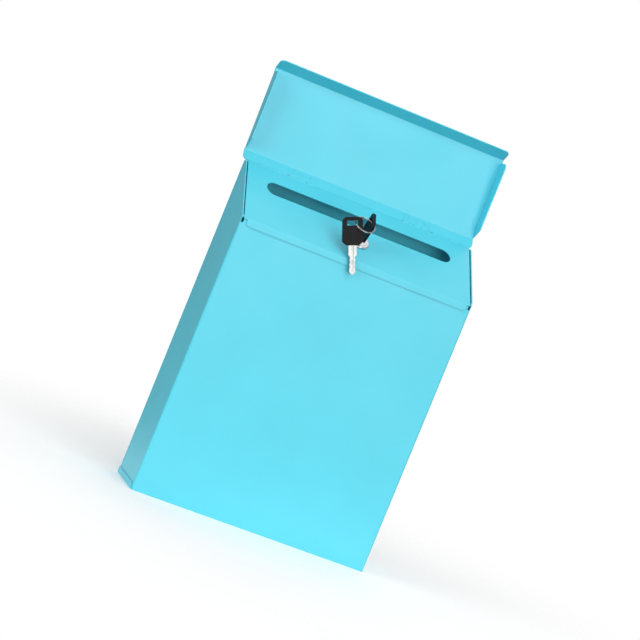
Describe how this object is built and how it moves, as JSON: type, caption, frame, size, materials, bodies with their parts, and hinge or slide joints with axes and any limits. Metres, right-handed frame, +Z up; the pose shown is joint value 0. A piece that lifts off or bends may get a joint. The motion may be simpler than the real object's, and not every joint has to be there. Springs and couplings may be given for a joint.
{
  "type": "wall-mount drop box",
  "caption": "Small locking wall drop box in folded sheet steel, with a sloping slotted door, a flip-up rain lid, and a cam lock with its key and a spare on a ring.",
  "frame": {"origin": "middle of the underside of the bottom tray, under the box body's centre", "axes": "+Z up, +X to the right seen from the front, +Y towards the wall; the front faces -Y"},
  "size_m": [0.2448, 0.0949, 0.4213],
  "materials": {
    "turquoise_paint": "smooth semi-gloss turquoise powder coat on sheet steel",
    "zinc_steel": "bright zinc-plated steel",
    "chrome_plate": "polished chrome plate on die-cast zinc",
    "nickel_key": "nickel-plated brass key blank, lightly brushed",
    "black_plastic": "moulded black plastic, satin",
    "ring_steel": "nickel-plated spring steel wire"
  },
  "bodies": {
    "box": {"body_wrap": "turquoise_paint", "back_panel": "turquoise_paint", "bottom_tray": "turquoise_paint", "strike_bracket": "turquoise_paint", "door_hinge_body_leaf_left": "turquoise_paint", "door_hinge_body_leaf_right": "turquoise_paint", "door_hinge_pin_left": "zinc_steel", "door_hinge_pin_right": "zinc_steel", "lid_hinge_body_leaf_left": "turquoise_paint", "lid_hinge_body_leaf_right": "turquoise_paint", "lid_hinge_pin_left": "zinc_steel", "lid_hinge_pin_right": "zinc_steel"},
    "door": {"slot_door": "turquoise_paint", "door_hinge_door_leaf_left": "turquoise_paint", "door_hinge_door_leaf_right": "turquoise_paint", "lock_housing": "chrome_plate", "lock_nut": "zinc_steel"},
    "lid": {"rain_lid": "turquoise_paint", "lid_hinge_lid_leaf_left": "turquoise_paint", "lid_hinge_lid_leaf_right": "turquoise_paint"},
    "plug": {"lock_plug": "chrome_plate", "lock_cam": "zinc_steel", "cam_washer": "zinc_steel", "cam_nut": "zinc_steel"},
    "key": {"key_blade": "nickel_key", "key_head": "black_plastic"},
    "ring": {"split_ring": "ring_steel"},
    "spare_key": {"spare_key_blade": "nickel_key", "spare_key_head": "black_plastic"}
  },
  "joints": [
    {"name": "door_open", "type": "hinge", "parent": "box", "child": "door", "pos_m": [0, 0.0344, 0.32092], "axis": [-1, 0, 0], "range_deg": [0, 85]},
    {"name": "lid_close", "type": "hinge", "parent": "box", "child": "lid", "pos_m": [0, 0.0344, 0.32092], "axis": [-1, 0, 0], "range_deg": [-100, 0]},
    {"name": "lock_turn", "type": "hinge", "parent": "door", "child": "plug", "pos_m": [0, -0.01443, 0.28981], "axis": [0, 0.5727, -0.8198], "range_deg": [0, 90]},
    {"name": "key_pull", "type": "slide", "parent": "plug", "child": "key", "axis": [0, -0.5727, 0.8198], "range_m": [0, 0.024]},
    {"name": "ring_pull", "type": "slide", "parent": "door", "child": "ring", "axis": [0, -0.5727, 0.8198], "range_m": [0, 0.024]},
    {"name": "spare_swing", "type": "hinge", "parent": "ring", "child": "spare_key", "pos_m": [-0.01677, -0.03765, 0.30649], "axis": [0.242, -0.8005, -0.5483], "range_deg": [-20, 25]}
  ],
  "couplings": [
    {"joint": "ring_pull", "follows": "key_pull", "ratio": 1}
  ]
}
